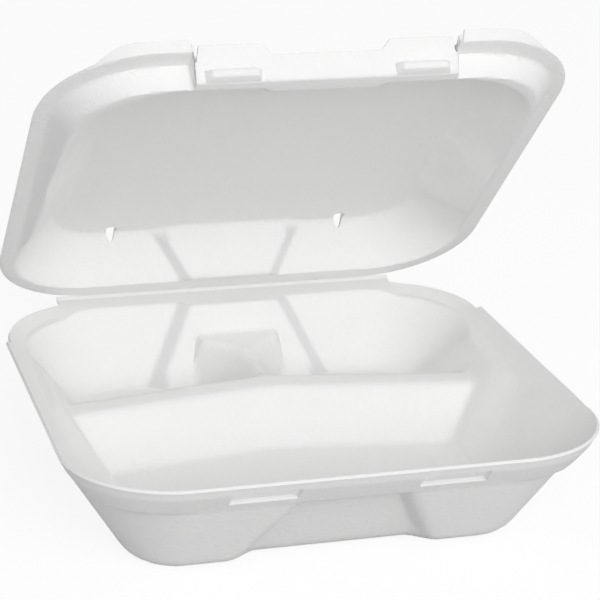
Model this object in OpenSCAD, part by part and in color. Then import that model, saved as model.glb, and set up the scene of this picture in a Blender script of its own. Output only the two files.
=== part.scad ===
// Hinged lid food container, thermoformed from one sheet of white foam.
// The tray stands on the table plane, X runs along the hinge, Y points to the hinge.

/* [Container] */
// Width over the flared rim (mm)
tray_w = 210; // [180:1:240]
// Depth from the hinge to the front rim (mm)
tray_d = 204; // [180:1:240]
// Height of the hinge above the table (mm)
hinge_h = 33; // [26:0.5:42]
// Rise of the rim toward the front (deg)
rim_tilt = 5; // [2:0.5:7]
// Thickness of the foam sheet (mm)
sheet_t = 2; // [1.6:0.1:2.6]
// Opening of the lid in the rest pose (deg)
lid_open = 45; // [0:1:180]
// Gap left along the hinge crease and under the closed flange (mm)
crease_gap = 0.4; // [0.3:0.05:0.8]
// Length of the hinge shelf (mm)
shelf_len = 150; // [120:1:170]

/* [Tray rim] */
// Corner radius of the rim (mm)
rim_r = 42; // [30:1:50]
// Width of the flare at the sides (mm)
flare_side = 8; // [6:0.5:10]
// Width of the flare at the front (mm)
flare_front = 11.5; // [9:0.5:13]
// Depth of the hinge shelf (mm)
shelf_d = 12.5; // [10:0.5:15]
// Drop of the shelf across its depth (mm)
drop_back = 2.5; // [1.5:0.5:4]
// Drop of the flare at the front (mm)
drop_front = 11; // [9:0.5:14]
// Distance of the rim ears from the hinge (mm)
ear_y = 44; // [36:1:60]
// Step of the rim at the ears (mm)
ear_step = 2; // [1.5:0.25:3]

/* [Tray body] */
// Width of the floor (mm)
floor_w = 153; // [140:1:160]
// Distance of the floor front from the hinge (mm)
floor_front = 171; // [160:1:176]
// Distance of the floor back from the hinge (mm)
floor_back = 27; // [22:1:32]
// Corner radius of the floor (mm)
floor_r = 22; // [16:1:30]
// Fillet between floor and walls (mm)
floor_fillet = 7; // [4:0.5:10]
// Depth of the pressed-in wall panels (mm)
panel_in = 5; // [3:0.5:6]
// Width of a wall panel at the floor (mm)
panel_low = 79; // [60:1:90]
// Width of a wall panel under the flare (mm)
panel_high = 42; // [30:1:50]
// Distance of the side panels from the hinge (mm)
panel_y = 80; // [70:1:90]

/* [Dividers] */
// Height of the divider top above the table (mm)
deck_h = 24; // [18:0.5:28]
// Distance of the divider front edge from the hinge at the walls (mm)
divider_end = 89; // [80:1:100]
// Distance of the divider front edge from the hinge at the middle (mm)
divider_mid = 78; // [70:1:90]
// Width of the divider top (mm)
divider_w = 10; // [8:0.5:14]
// Width of the centre ridge top (mm)
ridge_w = 5; // [4:0.5:8]
// Draft of the divider faces (deg)
divider_draft = 28; // [20:1:32]
// Corner radius of the compartments (mm)
pocket_r = 14; // [10:1:18]

/* [Closure] */
// Distance of a slot centre from the middle (mm)
slot_x = 36; // [30:1:42]
// Length of a slot (mm)
slot_len = 26; // [22:0.5:30]
// Height of a slot (mm)
slot_h = 5.2; // [4.5:0.1:6]
// Drop of the slot centre below the rim (mm)
slot_drop = 6.8; // [6:0.1:8]
// Length of a locking bump (mm)
bump_len = 21.5; // [16:0.5:24]
// Height of a locking bump (mm)
bump_h = 3.6; // [2.5:0.1:4]
// Half width of the flap (mm)
flap_half = 49; // [44:0.5:54]
// Width of the notch beside the flap (mm)
notch_w = 2; // [1.5:0.25:4]
// Rise of the flap above the flange (mm)
flap_rise = 4; // [2:0.5:6]
// Lean of the flap (deg)
flap_lean = 21; // [14:1:26]
// Half width of the thumb recess (mm)
thumb_half = 20; // [14:1:24]
// Depth of the thumb recess (mm)
thumb_depth = 4; // [2:0.5:6]
// Rise of the lips beside the flap (mm)
lip_rise = 5; // [3:0.5:7]
// Distance over which a lip dies away toward the corner (mm)
lip_run = 7.5; // [5:0.5:12]

/* [Lid] */
// Half width of the flange (mm)
lid_half = 104; // [100:0.5:106]
// Distance of the flange front from the hinge (mm)
lid_front = 200.5; // [195:0.5:202]
// Width of the flange at the sides (mm)
flange_side = 6; // [4:0.5:8]
// Width of the flange at the front corners (mm)
flange_front = 10; // [8:0.5:12]
// Depth of the seat groove at the front (mm)
seat_depth = 9; // [7:0.5:10]
// Depth of the hinge shelf of the lid (mm)
lid_shelf = 10; // [8:0.5:13]
// Width of the seat land (mm)
seat_land = 1.8; // [1.5:0.1:2.5]
// Height of the dome over the hinge, measured at the hinge line (mm)
dome_h = 23.1; // [18:0.1:28]
// Half width of the top panel at the back (mm)
top_half_back = 81; // [76:0.5:84]
// Half width of the top panel at the front (mm)
top_half_front = 75; // [70:0.5:80]
// Distance of the top panel back edge from the hinge (mm)
top_back = 19; // [16:0.5:24]
// Distance of the top panel front edge from the hinge (mm)
top_front = 175; // [168:0.5:178]
// Corner radius of the top panel (mm)
top_r = 24; // [16:1:30]
// Depth of the pressed-in dome panels (mm)
dome_panel_in = 3; // [2:0.25:4]
// Width of a dome panel at the top (mm)
dome_panel_high = 62; // [50:1:70]
// Width of a dome panel at the seat (mm)
dome_panel_low = 38; // [30:1:46]
// Distance of a steam hole from the middle (mm)
vent_x = 51.7; // [40:0.5:60]
// Diameter of a steam hole (mm)
vent_dia = 4; // [3:0.25:5]

/* [Hidden] */
$fn = 48;
slice = 0.1;
margin = 1;
deck_over = 2;
far = 300;
bevel = 7.5;
foam_white = [0.94, 0.94, 0.93];

// Shoulder line where the walls turn into the flare, seen in the rim plane.
shoulder_half = tray_w / 2 - flare_side;
shoulder_front = tray_d - flare_front;
shoulder_r = 31;
shoulder_tilt = atan((drop_front - drop_back) / (shoulder_front - shelf_d));

// Seat plane of the lid, falling toward the front.
seat_front = lid_front - flange_front - 1;
seat_half_back = lid_half - flange_side - 1.5;
seat_half_front = lid_half - flange_side - 8;
seat_r = 30;
seat_tilt = atan(seat_depth / (seat_front - lid_shelf));

// Flap profile, front end of the seat plane to the free edge.
flap_foot = seat_front + 4.2;
flap_len = (seat_depth + flap_rise) / cos(flap_lean);
bump_tip = lid_front - 2.2;

function arc_steps() = [0, 20, 40, 58];

// Four-sided outline with the hinge on +Y, straight sides that may taper.
module outline(half_front, half_back, front, back, r) {
    offset(r = r)
        offset(delta = -r)
            polygon([
                [-half_front, -front],
                [half_front, -front],
                [half_back, -back],
                [-half_back, -back]
            ]);
}

// Thin horizontal layer of a plan outline.
module layer(z) {
    translate([0, 0, z])
        linear_extrude(slice)
            children();
}

// Rounded foot of a hollow: layers that swing from the floor into the wall.
module foot(r, fillet, grow) {
    for (a = arc_steps())
        layer(fillet - (fillet + grow) * cos(a))
            offset(r = r - fillet * tan(29) + (fillet + grow) * sin(a))
                offset(delta = -r)
                    children();
}

// Long prism along X from a profile drawn in Y and Z.
module along_x(from_x, to_x) {
    rotate([90, 0, 90])
        translate([0, 0, from_x])
            linear_extrude(to_x - from_x)
                children();
}

// Plane of the rim, with its origin on the hinge line.
module rim_plane() {
    translate([0, 0, hinge_h])
        rotate([-rim_tilt, 0, 0])
            children();
}

// Plane of the shoulder line, reached from the rim plane.
module shoulder_plane(fraction) {
    translate([0, -shelf_d, -drop_back * fraction])
        rotate([shoulder_tilt * fraction, 0, 0])
            translate([0, shelf_d, 0])
                children();
}

// Top of the bowl, a little above the shoulder line where the flare takes over.
module bowl_top(grow) {
    half = shoulder_half + 0.28 * flare_side;
    front = shoulder_front + 0.3 * flare_front;
    rim_plane()
        shoulder_plane(0.5)
            layer(0)
                offset(delta = grow * 1.18)
                    outline(half, half, front, shelf_d - 0.6, shoulder_r);
}

// Bowl of the tray from the floor to the shoulder.
module bowl(grow) {
    hull() {
        translate([0, 0, sheet_t])
            foot(floor_r, floor_fillet, grow)
                outline(floor_w / 2, floor_w / 2, floor_front, floor_back, floor_r);
        bowl_top(grow);
    }
}

// Rim flare for one half width of the rim.
module flare(grow, half) {
    rim_out = 0.7 * grow;
    edge = 0.7 * sheet_t;
    reach = 0.15;
    hull() {
        rim_plane()
            layer(-rim_out)
                offset(delta = rim_out - edge)
                    outline(half, half, tray_d, 2, rim_r);
        rim_plane()
            layer(grow > 0 ? -slice : margin)
                offset(delta = grow > 0 ? -edge : margin - edge)
                    outline(half, half, tray_d, 2, rim_r);
        rim_plane()
            shoulder_plane(1 + reach)
                layer(-0.63 * grow)
                    offset(delta = 0.78 * grow)
                        outline(
                            shoulder_half - reach * flare_side,
                            shoulder_half - reach * flare_side,
                            shoulder_front - reach * flare_front,
                            shelf_d + reach * shelf_d,
                            shoulder_r - reach * flare_side
                        );
    }
}

// Whole rim: narrow behind the ears, wide in front of them.
module rim(grow) {
    lap = 3 * sheet_t;
    front_edge = -ear_y - (grow > 0 ? 0 : sheet_t);
    intersection() {
        flare(grow, tray_w / 2 - ear_step);
        rim_plane()
            translate([-far / 2, -ear_y - lap, -far / 2])
                cube([far, far, far]);
    }
    intersection() {
        flare(grow, tray_w / 2);
        rim_plane()
            translate([-far / 2, front_edge - far, -far / 2])
                cube([far, far, far]);
    }
}

// One compartment between the floor and the divider top.
module pocket(low, high, grow) {
    hull() {
        translate([0, 0, sheet_t])
            foot(pocket_r, floor_fillet, grow)
                polygon(low);
        layer(deck_h + deck_over)
            offset(r = pocket_r + grow / cos(divider_draft))
                offset(delta = -pocket_r)
                    polygon(high);
    }
}

// The front compartment and the two back compartments.
module pockets(grow) {
    spread = (deck_h - sheet_t) * tan(divider_draft);
    over = deck_over * tan(divider_draft);
    low_half = floor_w / 2 + 2.5;
    high_half = floor_w / 2 + 17.5;
    low_front = floor_front + 4;
    high_front = floor_front + 22;
    low_back = floor_back - 4;
    high_back = floor_back - 18;
    pocket(
        [
            [-low_half, -low_front], [low_half, -low_front], [low_half, -divider_end - spread],
            [0, -divider_mid - spread], [-low_half, -divider_end - spread]
        ],
        [
            [-high_half, -high_front], [high_half, -high_front], [high_half, -divider_end + over],
            [0, -divider_mid + over], [-high_half, -divider_end + over]
        ],
        grow
    );
    for (side = [0, 1])
        mirror([side, 0, 0])
            pocket(
                [
                    [ridge_w / 2 + spread, -divider_mid + divider_w + spread],
                    [low_half, -divider_end + divider_w + spread],
                    [low_half, -low_back],
                    [ridge_w / 2 + spread, -low_back]
                ],
                [
                    [ridge_w / 2 - over, -divider_mid + divider_w - over],
                    [high_half, -divider_end + divider_w - over],
                    [high_half, -high_back],
                    [ridge_w / 2 - over, -high_back]
                ],
                grow
            );
}

// Pressed-in trapezoid: the block that is taken off a wall, drawn on the wall.
module panel_cut(grow, depth, low, high, height, past) {
    k = bevel / depth;
    trim = grow * (k - sqrt(1 + k * k)) - bevel;
    lean = (low - high) / 2 / height;
    reach = sheet_t + margin;
    hull()
        for (y = [grow - depth, reach])
            translate([0, y, 0])
                rotate([90, 0, 0])
                    linear_extrude(slice)
                        polygon([
                            [-low / 2 - lean * past - trim - k * (y + depth - grow), -past],
                            [low / 2 + lean * past + trim + k * (y + depth - grow), -past],
                            [high / 2 - lean * past + trim + k * (y + depth - grow), height + past],
                            [-high / 2 + lean * past - trim - k * (y + depth - grow), height + past]
                        ]);
}

// Places a wall panel: compass turn, distance of the wall foot, shift along the wall, lean.
module on_wall(turn, distance, shift, lean, z) {
    rotate([0, 0, turn])
        translate([shift, distance, z])
            rotate([-lean, 0, 0])
                children();
}

// The four pressed-in panels of the tray.
module tray_panels(grow) {
    wall = 40;
    on_wall(180, floor_front, 0, 33.5, sheet_t)
        panel_cut(grow, panel_in, panel_low, panel_high, wall, 6);
    on_wall(0, -floor_back, 0, 26, sheet_t)
        panel_cut(grow, panel_in, panel_low, panel_high, wall, 6);
    on_wall(-90, floor_w / 2, panel_y, 32, sheet_t)
        panel_cut(grow, panel_in, panel_low, panel_high, wall, 6);
    on_wall(90, floor_w / 2, -panel_y, 32, sheet_t)
        panel_cut(grow, panel_in, panel_low, panel_high, wall, 6);
}

// Full shape bounded by one side of the sheet: inner side at 0, outer side at the sheet thickness.
module tray_form(grow) {
    difference() {
        union() {
            intersection() {
                bowl(grow);
                translate([-far / 2, -far, deck_h - grow])
                    cube([far, far, far]);
            }
            intersection() {
                bowl(grow);
                pockets(grow);
            }
        }
        tray_panels(grow);
    }
    rim(grow);
}

// Slots in the front flare that catch the locking bumps.
module slots() {
    for (side = [-1, 1])
        rim_plane()
            translate([side * slot_x, -tray_d, -slot_drop])
                cube([slot_len, 4 * flare_front, slot_h], center = true);
}

// Flat shelf along the hinge, in the rim plane.
module shelf(z) {
    translate([-shelf_len / 2, -shelf_d, z])
        cube([shelf_len, shelf_d - crease_gap, sheet_t]);
}

module tray() {
    color(foam_white)
        translate([0, tray_d / 2, 0])
            difference() {
                union() {
                    tray_form(sheet_t);
                    rim_plane()
                        shelf(-sheet_t);
                }
                difference() {
                    tray_form(0);
                    rim_plane()
                        shelf(-sheet_t);
                }
                slots();
            }
}

// Seat plane of the lid.
module seat_plane() {
    translate([0, -lid_shelf, 0])
        rotate([seat_tilt, 0, 0])
            translate([0, lid_shelf, 0])
                children();
}

// Flange plate with its hinge shelf.
module flange() {
    linear_extrude(sheet_t)
        outline(lid_half, lid_half, lid_front, 2, rim_r);
    shelf(0);
}

// Plug under the flange that drops into the tray rim.
module plug() {
    inner = lid_half - flange_side;
    hull() {
        layer(-slice)
            outline(inner, inner, lid_front - flange_front, lid_shelf, rim_r - flange_side);
        seat_plane()
            layer(0)
                outline(seat_half_front, seat_half_back, seat_front, lid_shelf, seat_r);
    }
}

// Groove in the upper side of the plug.
module groove() {
    inner = lid_half - flange_side - 0.41 * sheet_t;
    back = lid_shelf + 3 * sheet_t;
    difference() {
        hull() {
            layer(sheet_t + margin)
                outline(inner + margin, inner + margin, lid_front - flange_front - sheet_t,
                    back, rim_r - flange_side);
            seat_plane()
                layer(sheet_t)
                    outline(seat_half_front - 0.41 * sheet_t, seat_half_back - 0.41 * sheet_t,
                        seat_front - sheet_t, back, seat_r);
        }
        for (side = [-1, 1])
            translate([side * (flap_half + notch_w + sheet_t / 2), -top_front - far / 2, 0])
                cube([sheet_t, far, far], center = true);
    }
}

// Plane of the level top panel when the lid is shut.
module top_plane() {
    translate([0, 0, dome_h])
        rotate([rim_tilt, 0, 0])
            children();
}

// Dome of the lid, inner side at 0 and outer side at the sheet thickness.
module dome(grow) {
    fillet = 5;
    low = grow > 0 ? 0.6 * sheet_t : -0.5;
    out = grow > 0 ? 0.81 * sheet_t - seat_land : 0.45 - seat_land;
    difference() {
        hull() {
            top_plane()
                mirror([0, 0, 1])
                    foot(top_r, fillet, grow)
                        outline(top_half_front, top_half_back, top_front, top_back, top_r);
            seat_plane()
                layer(low)
                    offset(delta = out)
                        outline(seat_half_front, seat_half_back, seat_front, lid_shelf, seat_r);
        }
        dome_panels(grow);
    }
}

// Pressed-in panels of the dome walls.
module dome_panels(grow) {
    wall = 18;
    mirror([0, 0, 1])
        for (turn = [0, 180, 90, -90]) {
            back = turn == 0;
            front = turn == 180;
            distance = back ? -top_back : front ? top_front : (top_half_front + top_half_back) / 2;
            shift = back || front ? 0 : turn == 90 ? -panel_y : panel_y;
            lean = back ? 22 : front ? 40 : 41;
            level = back ? 21.4 : front ? 7.8 : 15.5;
            on_wall(turn, distance, shift, lean, -level)
                panel_cut(grow, dome_panel_in, dome_panel_high, dome_panel_low, wall,
                    grow > 0 ? 2 : 2 + sheet_t);
        }
}

// Opening cut out of the flange and plug for the flap.
module flap_opening() {
    half = flap_half + notch_w;
    translate([-half, sheet_t - seat_front - far, -far / 2])
        cube([2 * half, far, far]);
}

// Flap with its land, thumb recess and locking bumps.
module flap() {
    t = sheet_t;
    c = seat_depth;
    land_start = seat_front - 8;
    tip_y = -flap_foot - flap_len * sin(flap_lean);
    in_y = t * cos(flap_lean);
    in_z = t * sin(flap_lean);
    difference() {
        along_x(-flap_half, flap_half)
            polygon([
                [-land_start, -c],
                [-flap_foot, -c],
                [tip_y, flap_rise],
                [tip_y + in_y, flap_rise + in_z],
                [-flap_foot + in_y - tan(flap_lean) * (t - in_z), t - c],
                [-land_start, t - c]
            ]);
        translate([0, -flap_foot + far / 4, flap_rise - thumb_depth])
            rotate([90, 0, 0])
                linear_extrude(far)
                    polygon([
                        [-thumb_half, 0],
                        [thumb_half, 0],
                        [thumb_half + thumb_depth + margin, 2 * thumb_depth],
                        [-thumb_half - thumb_depth - margin, 2 * thumb_depth]
                    ]);
    }
    along_x(-flap_half - notch_w - margin, flap_half + notch_w + margin)
        polygon([
            [-land_start, -c],
            [-flap_foot + 2, -c],
            [-flap_foot + 2, t - c],
            [-land_start, t - c]
        ]);
    for (side = [-1, 1])
        translate([side * slot_x, 0, -c])
            hull() {
                translate([-bump_len / 2, -flap_foot - 1, 0])
                    cube([bump_len, 2, bump_h + 1]);
                translate([-bump_len / 2 + 2, -bump_tip, 0.4])
                    cube([bump_len - 4, 1, bump_h - 0.8]);
            }
}

// Lifted lips along the flange edge beside the flap.
module lips() {
    half = flap_half + notch_w;
    difference() {
        intersection() {
            difference() {
                hull() {
                    layer(0)
                        outline(lid_half, lid_half, lid_front, 2, rim_r);
                    layer(lip_rise)
                        offset(r = lip_rise * tan(flap_lean))
                            outline(lid_half, lid_half, lid_front, 2, rim_r);
                }
                hull() {
                    layer(-slice)
                        offset(delta = -sheet_t)
                            outline(lid_half, lid_half, lid_front, 2, rim_r);
                    layer(lip_rise + slice)
                        offset(r = lip_rise * tan(flap_lean) - sheet_t)
                            outline(lid_half, lid_half, lid_front, 2, rim_r);
                }
            }
            along_x(-far / 2, far / 2)
                polygon([
                    [-lid_front + lip_run, 0],
                    [-lid_front - lip_run, 2 * lip_rise],
                    [-lid_front - lip_run, 0]
                ]);
        }
        translate([-half, -far, -far / 2])
            cube([2 * half, far, far]);
    }
}

// Teardrop steam holes where the back wall meets the top panel.
module vents() {
    for (side = [-1, 1])
        translate([side * vent_x, -top_back + 1, dome_h - 2])
            rotate([-35, 0, 0])
                hull() {
                    translate([0, 1, 0])
                        cylinder(d = vent_dia, h = 20, center = true);
                    translate([0, -3, 0])
                        cylinder(d = vent_dia / 2, h = 20, center = true);
                }
}

// Lid in its closed place, hinge line at the origin.
module lid_closed() {
    difference() {
        union() {
            difference() {
                union() {
                    flange();
                    plug();
                }
                groove();
                flap_opening();
            }
            dome(sheet_t);
            flap();
            lips();
        }
        dome(0);
        vents();
    }
}

module lid() {
    color(foam_white)
        translate([0, tray_d / 2, hinge_h])
            rotate([-rim_tilt - lid_open, 0, 0])
                translate([0, 0, crease_gap])
                    lid_closed();
}

tray();
lid();
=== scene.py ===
"""White foam hinged lid container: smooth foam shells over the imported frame, soft light, pale stage.

The two sheets are height fields in millimetres: x runs along the hinge, y is 0 at the hinge and
falls toward the front. They are moved into the frame and scaled to metres when they are placed.
"""

import math

import bmesh
import bpy
import numpy as np
from mathutils import Matrix, Vector


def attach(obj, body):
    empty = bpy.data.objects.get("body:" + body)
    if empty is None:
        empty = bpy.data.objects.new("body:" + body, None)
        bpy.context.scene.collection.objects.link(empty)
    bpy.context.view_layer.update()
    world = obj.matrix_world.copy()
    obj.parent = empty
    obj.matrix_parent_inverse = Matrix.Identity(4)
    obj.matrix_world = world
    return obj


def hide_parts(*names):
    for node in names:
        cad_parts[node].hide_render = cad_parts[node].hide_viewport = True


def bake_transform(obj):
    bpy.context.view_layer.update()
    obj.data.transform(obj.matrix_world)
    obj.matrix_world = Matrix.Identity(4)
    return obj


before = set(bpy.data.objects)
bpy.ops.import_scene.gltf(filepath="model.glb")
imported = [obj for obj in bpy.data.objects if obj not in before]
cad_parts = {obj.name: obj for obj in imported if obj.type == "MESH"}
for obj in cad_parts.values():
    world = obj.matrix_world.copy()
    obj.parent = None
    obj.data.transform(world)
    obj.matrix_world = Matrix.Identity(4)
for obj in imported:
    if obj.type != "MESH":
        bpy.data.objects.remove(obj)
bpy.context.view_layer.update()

MM = 0.001
SHEET = 2.0  # foam thickness
TILT = math.radians(5.0)  # rim plane over the table
OPEN = math.radians(45.0)  # lid at rest, over its shut place
HINGE_Y = 102.0
HINGE_Z = 33.0
GAP = 0.4  # between the two hinge shelves
SHELF_HALF = 75.0  # half length of the hinge shelves

# Outlines in plan: half width, front, back, corner radius.
TRAY_FLOOR = (76.8, 171.3, 27.0, 19.0)
TRAY_RIM = (103.6, 201.8, 0.9, 40.6)
LID_EDGE = (104.0, 200.5, 2.0, 42.0)

# Sideways run of a wall per mm of height, at the sides, the front and the back.
TRAY_RUNS = (0.62, 0.58, 0.5)
LID_RUNS = (0.86, 0.84, 0.42)
GROOVE_RUNS = (0.87, 0.22, 0.87)
POCKET_RUN = 0.53
RIDGE_RUN = 0.74

FLOOR = 2.0  # upper face of the compartment floors
DIVIDER_TOP = 24.0
DIVIDER_FRONT = 90.2  # feet of the divider, from the hinge
DIVIDER_BACK = 55.8
DIVIDER_BEND = 0.137  # slope of its two arms in plan
TRAY_PANEL_HALF = 39.5  # pressed panels: half width at the foot, narrowing, middle of the side ones
TRAY_PANEL_LEAN = 18.5 / 36
TRAY_PANEL_MID = 80
LID_PANEL_HALF = 33
LID_PANEL_LEAN = 10 / 18
LID_PANEL_MID = 81

SEAT_BACK = 10.0  # groove that follows the rim, from the hinge
SEAT_LONG = 179.5
SEAT_DEEP = 9
FLAP_FOOT = 193.7
FLAP_RUN = 0.384
NOTCH_X = 50.2  # slits between flap and lips
VENT_X = 51.2
VENT_Y = -22.5
VENT_LONG = 3.4

# Closure slots seen along the hinge, under the rim plane.
SLOT = ((-208, -4.0), (-208, -19.5), (-190, -6.1), (-190, -4.0))
SLOT_X = (23.0, 49.0)

RINGS = 96  # of the grid under each sheet
EDGE_BAND = 30.0  # width in which the rings run parallel to the outline
EDGE_BAND_AT = 0.58  # share of the rings inside that band's inner line

WHITE = (1, 1, 1, 1)
LOOK_AT = (0, 0, 0.06)


def smin(a, b, r):
    """Smaller of two fields, blended over a difference of r."""
    h = np.clip(0.5 + 0.5 * (b - a) / r, 0, 1)
    return b * (1 - h) + a * h - r * h * (1 - h)


def smax(a, b, r):
    return -smin(-a, -b, r)


def ramp(v):
    v = np.clip(v, 0, 1)
    return v * v * (3 - 2 * v)


def bevel(v, soft):
    """0 to 1 with straight slope and slightly softened ends."""
    return np.clip(smax(smin(v, np.ones_like(v), soft), np.zeros_like(v), soft), 0, 1)


def rounded(x, y, half, front, back, r):
    """Distance outside a rounded outline, the share of it that points sideways, and what lies forward."""
    mid, long = -(front + back) / 2, (front - back) / 2
    qx = np.abs(x) - half + r
    qy = np.abs(y - mid) - long + r
    ox, oy = np.maximum(qx, 0), np.maximum(qy, 0)
    out = np.hypot(ox, oy)
    sd = out + np.minimum(np.maximum(qx, qy), 0) - r
    side = np.where(out > 1e-6, (ox / np.maximum(out, 1e-6)) ** 2, (qx > qy) * 1.0)
    return sd, side, y < mid


def by_side(side, forward, at_side, at_front, at_back):
    return side * at_side + (1 - side) * np.where(forward, at_front, at_back)


def panel_band(width, wide, across, lean, deep, run):
    """0 at the outer and 1 at the inner line of the slanted band beside a pressed panel."""
    return (width + wide / 2 - 1 - across) / (wide + lean * deep / run)


def painted_band_shade(band, z, wall):
    """Painted shade on that band: greyer colour laid only where the wall is what shows."""
    end = 0.28
    return ramp(band / end + 0.2) * ramp((1 - band) / end + 0.2) * ramp(2.2 - np.abs(z - wall))


def tray_flare(x, y):
    """Rim flare: flat shelf at the hinge, deeper toward the front."""
    sd, side, fwd = rounded(x, y, *TRAY_RIM)
    drop = 2.5 + 0.0472 * np.clip(-y - 12.5, 0, 180)
    shelf = 0.05 + 0.3 * ramp((np.abs(x) - 66) / 16)
    slope = by_side(side, fwd, drop / 6.7, 1.19, shelf)
    rim = HINGE_Z - y * math.tan(TILT)
    return np.maximum(rim + sd * slope, rim - 1.15 * drop)


def tray_divider(x, y):
    """Y-shaped divider, and the field and crest of its ridge, which fans out to a block at the back wall."""
    bend = DIVIDER_BEND * (np.sqrt(x * x + 30) - 5.5)
    slant = math.cos(math.atan(DIVIDER_BEND))
    front_pocket = FLOOR + (y + DIVIDER_FRONT + bend) * slant / POCKET_RUN
    behind = (-DIVIDER_BACK - bend - y) * slant
    crest = DIVIDER_TOP - 1.4 * ramp((y + 58) / 32)
    ax = np.sqrt(x * x + 0.6)
    fan = np.minimum(np.clip((y + 54) / 29, 0, 1) ** 3.2, 0.74)
    gable = DIVIDER_TOP - ((ax - 23 * fan) / (1 - fan) - 0.6) / RIDGE_RUN
    ridge = smin(gable, crest, 2.6)
    back_pocket = smax(FLOOR + behind / POCKET_RUN, ridge, 9.0)
    top = np.full_like(x, DIVIDER_TOP)
    return smin(smin(front_pocket, top, 2.2), back_pocket, 2.2), ridge, crest


def tray_form(x, y):
    """Upper face of the tray over the table, and the painted shade of its panel bands and ridge flanks."""
    sd, side, fwd = rounded(x, y, *TRAY_FLOOR)
    run = by_side(side, fwd, *TRAY_RUNS)
    width = TRAY_PANEL_HALF - TRAY_PANEL_LEAN * np.clip(FLOOR + sd / run, 0, 40)
    front = (side < 0.5) & fwd
    back = (side < 0.5) & ~fwd
    ends = front | back
    across = np.where(ends, np.abs(x), np.abs(y + TRAY_PANEL_MID))
    deep = np.where(front, 5.9, 4.4)
    wide = np.where(front, 4.4, np.where(back, 5.6, 10.0))
    band = panel_band(width, wide, across, TRAY_PANEL_LEAN, deep, run)
    press = deep * bevel(band, np.where(ends, 0.15, 0.7))
    wall = FLOOR + (sd + press + 0.6) / run
    bowl = smax(smin(wall, tray_flare(x, y), 0.8), np.full_like(x, FLOOR), 4.0)
    divider, ridge, crest = tray_divider(x, y)
    z = smax(bowl, divider, 3.5)
    # Painted shade: the panel bands are greyed in colour, strongest on the back wall.
    painted_shade = painted_band_shade(band, z, wall) * np.where(back, 1.0, np.where(front, 0.3, 0.1))
    # Painted shade: the steep flanks of the centre ridge are greyed in colour, both sides alike.
    ridge_flank_shade = ramp((crest - z) / 3) * ramp(1.5 - np.abs(z - ridge) / 2)
    ridge_flank_shade = ridge_flank_shade * ramp((z - 2.5) / 3) * ramp((y + 68) / 6)
    return z, np.maximum(painted_shade, 0.45 * ridge_flank_shade)


def lid_form(x, y):
    """Lower face of the lid in its shut place, flange at 0, and the painted shade of its panel bands."""
    d = -y
    top = 23.1 - 0.0875 * d
    half = 81 - 6 * (d - 19) / 156
    sd, side, fwd = rounded(x, y, half, 175.0, 19.0, 24.0)
    run = by_side(side, fwd, *LID_RUNS)
    fall = np.maximum(sd, 0) / run
    width = LID_PANEL_HALF - LID_PANEL_LEAN * np.clip(fall, 0, 20)
    ends = side < 0.5
    across = np.where(ends, np.abs(x), np.abs(d - LID_PANEL_MID))
    deep, wide = np.where(ends, 3.2, 2.6), np.where(ends, 4.4, 9.0)
    band = panel_band(width, wide, across, LID_PANEL_LEAN, deep, run)
    sd = sd + deep * bevel(band, np.where(ends, 0.15, 0.7))
    dome = top - smax(sd / run, np.zeros_like(x), 3.6)
    seat = -SEAT_DEEP * np.clip((d - SEAT_BACK) / SEAT_LONG, 0, 1)
    seat_half = 96.5 - 6.5 * (d - SEAT_BACK) / SEAT_LONG
    out, out_side, out_fwd = rounded(x, y, seat_half, SEAT_BACK + SEAT_LONG, SEAT_BACK, 30.0)
    rise = seat + out / by_side(out_side, out_fwd, *GROOVE_RUNS)
    lip = rounded(x, y, *LID_EDGE)[0] * 2.6
    corner = smax(smin(rise, np.zeros_like(x), 1.2), lip, 1.0)
    flap = -SEAT_DEEP + (d - FLAP_FOOT) / FLAP_RUN
    aside = np.where(d > 150, ramp((np.abs(x) - 49.6) / 1.4), 1.0)
    outer = flap * (1 - aside) + corner * aside
    z = smax(smax(dome, seat, 1.2), outer, 1.2)
    # Painted shade: the panel bands are greyed in colour, mostly on the front and back walls.
    painted_shade = painted_band_shade(band, z, dome) * ramp(sd / 2)
    return z, painted_shade * np.where(ends, 1.0, 0.1)


def tray_trim(x, y):
    """How far the cut edge of the tray lies outside its base outline: shelf, ears."""
    back = np.where((np.abs(x) < SHELF_HALF) & (y > -30), 0.5, 0.0)
    return np.where((y > -43.5) & (back == 0), -1.8, back)


def lid_trim(x, y):
    """The same for the lid: shelf, lips, flap with thumb recess, and the notches beside it."""
    ax = np.abs(x)
    lip = 1.7 * ramp((90 - ax) / 16)
    flap = -1.8 - 1.5 * (1 - ramp((ax - 20) / 5))
    notch = 2.2 * ramp(1.6 - np.abs(ax - NOTCH_X) / 1.4)
    front = np.where(ax > NOTCH_X, lip, flap) - notch
    back = np.where((ax < SHELF_HALF) & (y > -30), 1.6, 0.0)
    return np.where(y < -150, front, back)


def vent(side):
    """Teardrop steam hole where back wall meets top panel: distance outside it in plan."""

    def hole(x, y):
        along = np.clip((y - VENT_Y) / VENT_LONG, 0, 1)
        return np.hypot(x - side * VENT_X, y - VENT_Y - VENT_LONG * along) - (2.5 - 0.8 * along)

    return hole


def crowd(t, spot):
    """Bends even steps from -1 to 1 so that more of them fall around plus and minus spot."""
    v = np.linspace(-1, 1, 4001)
    weight = 1 + 3.0 * np.exp(-(((np.abs(v) - spot) / 0.035) ** 2))
    total = np.concatenate([[0], np.cumsum((weight[1:] + weight[:-1]) / 2)])
    return np.interp((t + 1) / 2, total / total[-1], v)


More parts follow.
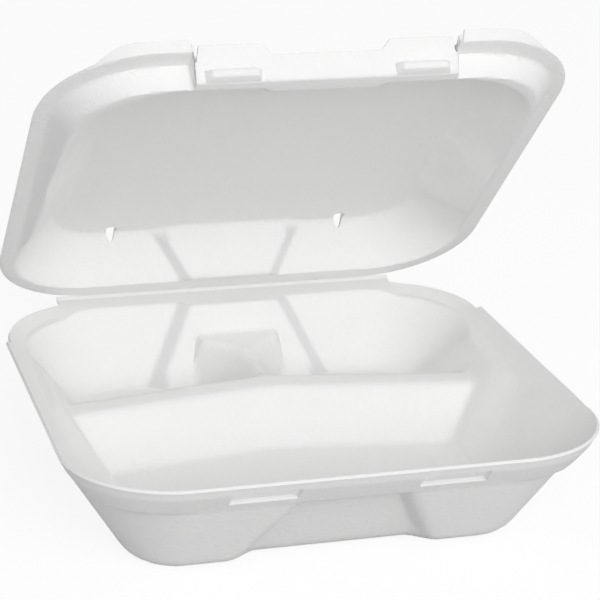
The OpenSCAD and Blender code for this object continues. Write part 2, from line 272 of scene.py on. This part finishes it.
def ring_grid(outline, trim, spot):
    """Rings from the middle outward; the outer ones run parallel to the outline.

    Returns points, faces, the border's points and the share of full thickness at each point.
    """
    half, front, back, r = outline
    mid = np.array([0.0, -(front + back) / 2])
    size = np.array([half, (front - back) / 2])
    square, ring, starts, faces = [(0.0, 1.0)], [0.0], [0, 1], []
    for k in range(1, RINGS + 1):
        t = np.arange(2 * k) / k - 1
        w = crowd(t, spot)
        one = np.ones_like(t)
        for u, v in ((one, t), (-w, one), (-one, -t), (w, -one)):
            square += list(zip(u, v))
        ring += [k / RINGS] * (8 * k)
        starts.append(len(ring))
    way, ring = np.array(square) * size, np.array(ring)
    low, high = np.full(len(way), 0.5), np.full(len(way), 1.1)
    for _ in range(36):
        m = (low + high) / 2
        q = mid + way * m[:, None]
        inside = rounded(q[:, 0], q[:, 1], *outline)[0] < 0
        low, high = np.where(inside, m, low), np.where(inside, high, m)
    edge = mid + way * low[:, None]
    core = np.maximum(np.abs(edge - mid) - size + r, 0) * np.sign(edge - mid)
    normal = core / np.linalg.norm(core, axis=1)[:, None]
    inner = edge - EDGE_BAND * normal
    share = np.clip((ring - EDGE_BAND_AT) / (1 - EDGE_BAND_AT), 0, 1)
    near = mid + (inner - mid) * (ring / EDGE_BAND_AT)[:, None]
    extra = trim(edge[:, 0], edge[:, 1]) * np.clip((share - 0.6) / 0.4, 0, 1)
    outer = inner + normal * (EDGE_BAND * share + extra)[:, None]
    p = np.where((ring < EDGE_BAND_AT)[:, None], near, outer)
    for i in range(8):
        faces.append((0, 1 + i, 1 + (i + 1) % 8))
    for k in range(1, RINGS):
        a, b, n, m = starts[k], starts[k + 1], 8 * k, 8 * (k + 1)
        for s in range(4):
            for f in range(2 * k):
                i0, i1 = a + s * 2 * k + f, a + (s * 2 * k + f + 1) % n
                j0 = b + s * 2 * (k + 1) + f + 1
                faces.append((i0, j0, b + (j0 - b + 1) % m, i1))
            c = a + s * 2 * k
            j = b + s * 2 * (k + 1)
            faces.append((c, b + (j - b - 1) % m, j, b + (j - b + 1) % m))
    border = list(range(starts[RINGS], starts[RINGS + 1]))
    return p, faces, border, 1 - 0.4 * ramp((ring - 0.955) / 0.045)


def punch(p, faces, hole):
    """Moves the points next to the hole's line onto it and drops the faces inside.

    Returns the faces that stay and the edges of the loop around the hole.
    """
    sd = hole(p[:, 0], p[:, 1])
    best = {}
    for f in faces:
        for a, b in zip(f, f[1:] + f[:1]):
            if sd[a] * sd[b] < 0:
                t = sd[a] / (sd[a] - sd[b])
                i, far = (a, t) if t < 0.5 else (b, 1 - t)
                if i not in best or far < best[i][0]:
                    best[i] = (far, p[a] + t * (p[b] - p[a]))
    for i, (_, spot) in best.items():
        p[i] = spot
        sd[i] = 0
    kept, gone = [], {}
    for f in faces:
        parts = [f]
        if min(sd[i] for i in f) < 0 < max(sd[i] for i in f):
            f = f if sd[f[0]] == 0 else f[1:] + f[:1]
            parts = [(f[0], f[1], f[2]), (f[2], f[3], f[0])]
        for part in parts:
            if max(sd[i] for i in part) > 0:
                kept.append(part)
                continue
            for a, b in zip(part, part[1:] + part[:1]):
                gone[(a, b)] = True
    return kept, [(a, b) for a, b in gone if (b, a) not in gone]


def linked(name, mesh):
    obj = bpy.data.objects.new(name, mesh)
    bpy.context.scene.collection.objects.link(obj)
    return obj


def shell(name, form, outline, trim, down, holes=()):
    """Closed foam sheet: the formed face, its copy one sheet away, and the cut edge."""
    p, faces, border, thick = ring_grid(outline, trim, NOTCH_X / LID_EDGE[0])
    loops = []
    for hole in holes:
        faces, loop = punch(p, faces, hole)
        loops += loop
    x, y = p[:, 0], p[:, 1]
    z, painted_shade = form(x, y)
    e = 0.15
    dx = (form(x + e, y)[0] - form(x - e, y)[0]) / (2 * e)
    dy = (form(x, y + e)[0] - form(x, y - e)[0]) / (2 * e)
    n = np.stack([-dx, -dy, np.ones_like(dx)], 1)
    n /= np.linalg.norm(n, axis=1)[:, None]
    front = np.stack([x, y, z], 1)
    other = front + n * (SHEET * thick)[:, None] * (-1 if down else 1)
    count = len(p)
    all_faces = list(faces) if down else [tuple(reversed(f)) for f in faces]
    for f in faces:
        g = tuple(i + count for i in f)
        all_faces.append(tuple(reversed(g)) if down else g)
    edges = list(zip(border, border[1:] + border[:1])) + [(b, a) for a, b in loops]
    for a, b in edges:
        quad = (a, b, b + count, a + count)
        all_faces.append(tuple(reversed(quad)) if down else quad)
    mesh = bpy.data.meshes.new(name)
    mesh.from_pydata(np.concatenate([front, other]).tolist(), [], all_faces)
    # Painted shade: each point's grey weight is stored for the material to darken the foam colour.
    tint = mesh.attributes.new("painted_shade", "FLOAT", "POINT")
    tint.data.foreach_set("value", np.tile(painted_shade, 2).astype(np.float32))
    mesh.validate()
    return linked(name, mesh)


def solid(name, points):
    """Convex block over a cloud of corner points."""
    bm = bmesh.new()
    for q in points:
        bm.verts.new(q)
    bmesh.ops.convex_hull(bm, input=bm.verts)
    mesh = bpy.data.meshes.new(name)
    bm.to_mesh(mesh)
    bm.free()
    return linked(name, mesh)


def settle(obj):
    """Turns the modifiers of a piece into its mesh."""
    dg = bpy.context.evaluated_depsgraph_get()
    mesh = bpy.data.meshes.new_from_object(obj.evaluated_get(dg))
    obj.modifiers.clear()
    obj.data = mesh


def cut(obj, cutters):
    """Takes the cutters out of a shell and throws them away."""
    for c in cutters:
        m = obj.modifiers.new("cut", "BOOLEAN")
        m.operation = "DIFFERENCE"
        m.solver = "EXACT"
        m.object = c
    settle(obj)
    for c in cutters:
        bpy.data.objects.remove(c)


def smooth(obj, angle):
    obj.data.shade_smooth()
    obj.data.set_sharp_from_angle(angle=math.radians(angle))


def place(obj, matrix):
    obj.data.transform(matrix)
    obj.data.transform(Matrix.Scale(MM, 4))


BASE = Matrix.Translation((0, HINGE_Y, 0))
HINGE = Matrix.Translation((0, HINGE_Y, HINGE_Z))
RIM = HINGE @ Matrix.Rotation(-TILT, 4, "X")
LID = HINGE @ Matrix.Rotation(-TILT - OPEN, 4, "X") @ Matrix.Translation((0, 0, GAP))


def foam_material():
    """White foam: fine cells and soft waves as bumps, and painted shade: greyer colour where the stored
    shade weight is set.
    """
    mat = bpy.data.materials.new("white_foam")
    mat.use_nodes = True
    nodes, links = mat.node_tree.nodes, mat.node_tree.links
    shade = nodes["Principled BSDF"]
    shade.inputs["Specular IOR Level"].default_value = 0.35
    shade.inputs["Subsurface Weight"].default_value = 0.12
    shade.inputs["Subsurface Radius"].default_value = (1, 1, 1)
    shade.inputs["Subsurface Scale"].default_value = 0.002
    where = nodes.new("ShaderNodeTexCoord")
    cells = nodes.new("ShaderNodeTexVoronoi")
    cells.inputs["Scale"].default_value = 800.0
    grain = nodes.new("ShaderNodeTexNoise")
    grain.inputs["Scale"].default_value = 560.0
    grain.inputs["Detail"].default_value = 4.0
    wave = nodes.new("ShaderNodeTexNoise")
    wave.inputs["Scale"].default_value = 28.0
    wave.inputs["Detail"].default_value = 1.0
    last = None
    for height, strength, distance in (
        (wave.outputs["Fac"], 0.10, 0.0015),
        (grain.outputs["Fac"], 0.55, 0.0005),
        (cells.outputs["Distance"], 0.2, 0.0003),
    ):
        bump = nodes.new("ShaderNodeBump")
        bump.inputs["Strength"].default_value = strength
        bump.inputs["Distance"].default_value = distance
        links.new(height, bump.inputs["Height"])
        if last:
            links.new(last.outputs["Normal"], bump.inputs["Normal"])
        last = bump
    links.new(last.outputs["Normal"], shade.inputs["Normal"])
    for tex in (cells, grain, wave):
        links.new(where.outputs["Object"], tex.inputs["Vector"])
    # Painted shade: the base colour goes from white to grey by the stored weight.
    painted_shade = nodes.new("ShaderNodeAttribute")
    painted_shade.attribute_name = "painted_shade"
    painted_shade_mix = nodes.new("ShaderNodeMix")
    painted_shade_mix.data_type = "RGBA"
    painted_shade_mix.inputs["A"].default_value = (0.91, 0.91, 0.905, 1)
    painted_shade_mix.inputs["B"].default_value = (0.77, 0.77, 0.77, 1)
    links.new(painted_shade.outputs["Fac"], painted_shade_mix.inputs["Factor"])
    links.new(painted_shade_mix.outputs["Result"], shade.inputs["Base Color"])
    rough = nodes.new("ShaderNodeMapRange")
    rough.inputs["To Min"].default_value = 0.50
    rough.inputs["To Max"].default_value = 0.66
    links.new(grain.outputs["Fac"], rough.inputs["Value"])
    links.new(rough.outputs["Result"], shade.inputs["Roughness"])
    return mat


FOAM = foam_material()


def dress(obj, body):
    obj.data.materials.clear()
    obj.data.materials.append(FOAM)
    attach(obj, body)


tray = shell("tray_foam", tray_form, TRAY_RIM, tray_trim, True)
tray.data.transform(BASE)
slots = []
for s in (-1, 1):
    block = solid("slot", [(x * s, y, z) for x in SLOT_X for y, z in SLOT])
    block.data.transform(RIM)
    slots.append(block)
cut(tray, slots)
smooth(tray, 50)
place(tray, Matrix.Identity(4))
dress(tray, "tray")
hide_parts("tray")

lid = shell("lid_foam", lid_form, LID_EDGE, lid_trim, False, [vent(-1), vent(1)])
smooth(lid, 50)
place(lid, LID)
dress(lid, "lid")
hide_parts("lid")

BUMP_ROOT = ((-192.2, -8.9), (-194.6, -4.4))
BUMP_TIP = ((-197.5, -8.6), (-198.3, -7.6), (-198.2, -5.8))
for s, name in ((-1, "left"), (1, "right")):
    bump = solid(
        "lock_bump_" + name,
        [(s * x, y, z) for x in (25.0, 47.0) for y, z in BUMP_ROOT]
        + [(s * x, y, z) for x in (27.4, 44.6) for y, z in BUMP_TIP],
    )
    soft = bump.modifiers.new("soft", "BEVEL")
    soft.width = 0.6
    soft.segments = 3
    settle(bump)
    smooth(bump, 50)
    place(bump, LID)
    dress(bump, "lid")

# Section of the hinge web, in the rim plane and up from it.
CREASE = (
    (-1.6, -1.0),
    (-0.5, -0.35),
    (0.55, -0.15),
    (0.9, 0.9),
    (0.5, 1.5),
    (-0.15, 0.5),
    (-0.55, 0.05),
    (-1.6, -0.1),
)


def crease():
    """Pressed foam web along the hinge line, a fixed section in the rim plane."""
    verts, faces, n, m = [], [], 60, len(CREASE)
    for i in range(n + 1):
        x = -SHELF_HALF + 2 * SHELF_HALF * i / n
        verts += [(x, a, b) for a, b in CREASE]
    for i in range(n):
        for k in range(m):
            a, b = i * m + k, i * m + (k + 1) % m
            faces.append((a, a + m, b + m, b))
    faces.append(tuple(reversed(range(m))))
    faces.append(tuple(range(n * m, n * m + m)))
    mesh = bpy.data.meshes.new("hinge_crease")
    mesh.from_pydata(verts, [], faces)
    obj = linked("hinge_crease", mesh)
    smooth(obj, 60)
    place(obj, RIM)
    obj.data.materials.append(FOAM)
    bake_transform(obj)


crease()


def floor_material():
    """White to the camera with a faint shadow, light grey to everything it lights."""
    mat = bpy.data.materials.new("floor_white")
    mat.use_nodes = True
    nodes, links = mat.node_tree.nodes, mat.node_tree.links
    nodes.clear()
    out = nodes.new("ShaderNodeOutputMaterial")
    plain = nodes.new("ShaderNodeBsdfDiffuse")
    plain.inputs["Color"].default_value = (0.6, 0.6, 0.6, 1)
    faint = nodes.new("ShaderNodeBsdfDiffuse")
    faint.inputs["Color"].default_value = (0.16, 0.16, 0.16, 1)
    glow = nodes.new("ShaderNodeEmission")
    glow.inputs["Color"].default_value = WHITE
    glow.inputs["Strength"].default_value = 0.86
    both = nodes.new("ShaderNodeAddShader")
    pick = nodes.new("ShaderNodeMixShader")
    seen = nodes.new("ShaderNodeLightPath")
    links.new(glow.outputs["Emission"], both.inputs[0])
    links.new(faint.outputs["BSDF"], both.inputs[1])
    links.new(seen.outputs["Is Camera Ray"], pick.inputs["Fac"])
    links.new(plain.outputs["BSDF"], pick.inputs[1])
    links.new(both.outputs["Shader"], pick.inputs[2])
    links.new(pick.outputs["Shader"], out.inputs["Surface"])
    return mat


def stage():
    mesh = bpy.data.meshes.new("floor")
    mesh.from_pydata([(-6, -6, 0), (6, -6, 0), (6, 6, 0), (-6, 6, 0)], [], [(0, 1, 2, 3)])
    floor = linked("floor", mesh)
    floor.location = (0, 0, -0.0002)
    floor.data.materials.append(floor_material())
    world = bpy.data.worlds.new("studio")
    bpy.context.scene.world = world
    world.use_nodes = True
    nodes, links = world.node_tree.nodes, world.node_tree.links
    nodes.clear()
    out = nodes.new("ShaderNodeOutputWorld")
    mix = nodes.new("ShaderNodeMixShader")
    seen = nodes.new("ShaderNodeLightPath")
    lit = nodes.new("ShaderNodeBackground")
    lit.inputs["Color"].default_value = WHITE
    lit.inputs["Strength"].default_value = 0.48
    white = nodes.new("ShaderNodeBackground")
    white.inputs["Color"].default_value = WHITE
    white.inputs["Strength"].default_value = 1.0
    links.new(seen.outputs["Is Camera Ray"], mix.inputs["Fac"])
    links.new(lit.outputs["Background"], mix.inputs[1])
    links.new(white.outputs["Background"], mix.inputs[2])
    links.new(mix.outputs["Shader"], out.inputs["Surface"])


def area(name, place_at, size, watts):
    """Square soft light turned to the middle of the container."""
    light = bpy.data.lights.new(name, "AREA")
    light.shape = "SQUARE"
    light.size = size
    light.energy = watts
    obj = linked(name, light)
    obj.location = place_at
    obj.rotation_mode = "QUATERNION"
    way = Vector(LOOK_AT) - Vector(place_at)
    obj.rotation_quaternion = way.to_track_quat("-Z", "Y")


stage()
area("key", (0.14, -1.28, 0.85), 0.8, 9.8)
area("fill_left", (-1.1, -0.7, 0.7), 1.2, 2.0)
area("fill_right", (1.1, -0.7, 0.7), 1.2, 1.7)

camera = bpy.data.cameras.new("camera")
camera.lens = 133.9
camera.sensor_width = 36.0
camera.clip_start = 0.05
camera.clip_end = 50.0
eye = linked("camera", camera)
right = Vector((0.95939, -0.27695, 0.05357))
up = Vector((0.06844, 0.41278, 0.90826))
back = -Vector((0.27366, 0.86770, -0.41497))
turn = Matrix((right, up, back)).transposed().to_4x4()
eye.matrix_world = Matrix.Translation((-0.2377, -0.7620, 0.4383)) @ turn
bpy.context.scene.camera = eye
bpy.context.scene.view_settings.view_transform = "Standard"
